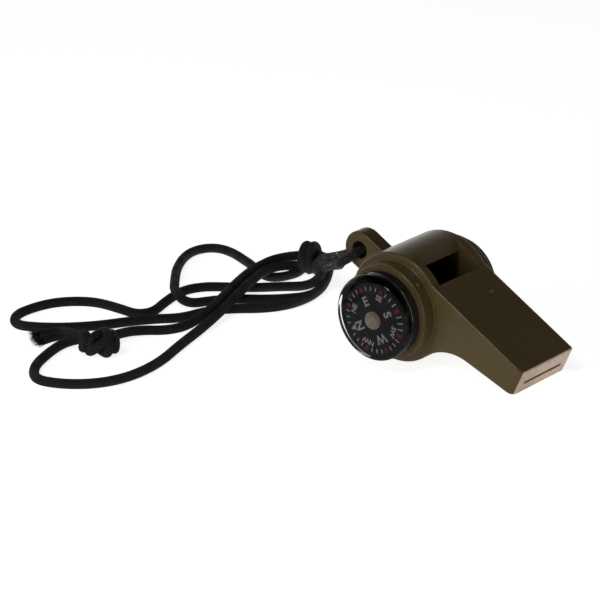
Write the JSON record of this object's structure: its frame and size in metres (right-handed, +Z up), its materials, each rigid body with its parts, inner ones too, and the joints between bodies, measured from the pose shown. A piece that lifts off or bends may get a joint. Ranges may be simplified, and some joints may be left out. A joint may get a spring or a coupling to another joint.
{
  "type": "survival whistle",
  "caption": "Pealess whistle with a domed compass on one side, a dial thermometer on the other and a knotted neck cord.",
  "frame": {"origin": "middle of the whistle's own footprint, on the surface it lies on, cord left out", "axes": "+X towards the mouthpiece, -Y towards the compass, +Z up"},
  "size_m": [0.1226, 0.0962, 0.026],
  "materials": {
    "olive_plastic": "semi-gloss moulded olive drab",
    "black_plastic": "satin black",
    "black_rubber": "matt",
    "clear_plastic": "clear polished acrylic",
    "steel": "turned",
    "magnet": "dark sintered",
    "spring_metal": "rolled strip",
    "dial_print": "printed satin card",
    "hub_brass": "dull turned",
    "jewel_glass": "polished cup",
    "red_paint": "satin red",
    "black_cord": "braided nylon"
  },
  "bodies": {
    "whistle": {"whistle_body": "olive_plastic", "side_cover": "olive_plastic", "compass_case": "black_plastic", "compass_pivot_pin": "steel", "compass_gasket": "black_rubber", "compass_lens": "clear_plastic", "thermometer_case": "black_plastic", "thermometer_dial": "dial_print", "thermometer_gasket": "black_rubber", "thermometer_lens": "clear_plastic", "thermometer_coil": "spring_metal", "thermometer_coil_anchor": "spring_metal", "lanyard_lead": "black_cord", "lanyard_far_leg": "black_cord", "lanyard_near_leg": "black_cord", "lanyard_upper_tail": "black_cord", "lanyard_lower_tail": "black_cord", "lanyard_wrap": "black_cord", "lanyard_knot": "black_cord"},
    "compass_card": {"compass_card": "dial_print", "compass_magnet": "magnet", "compass_hub_cap": "hub_brass", "compass_jewel": "jewel_glass"},
    "thermometer_pointer": {"thermometer_staff": "steel", "thermometer_pointer": "red_paint"}
  },
  "joints": [
    {"name": "card_turn", "type": "hinge", "parent": "whistle", "child": "compass_card", "pos_m": [-0.0071, -0.0147, 0.0124], "axis": [0, -1, 0], "continuous": true},
    {"name": "pointer_turn", "type": "hinge", "parent": "whistle", "child": "thermometer_pointer", "pos_m": [-0.0071, 0.0153, 0.013], "axis": [0, -1, 0], "range_deg": [-160, 120], "stiffness_Nm_per_rad": 0.00005}
  ]
}
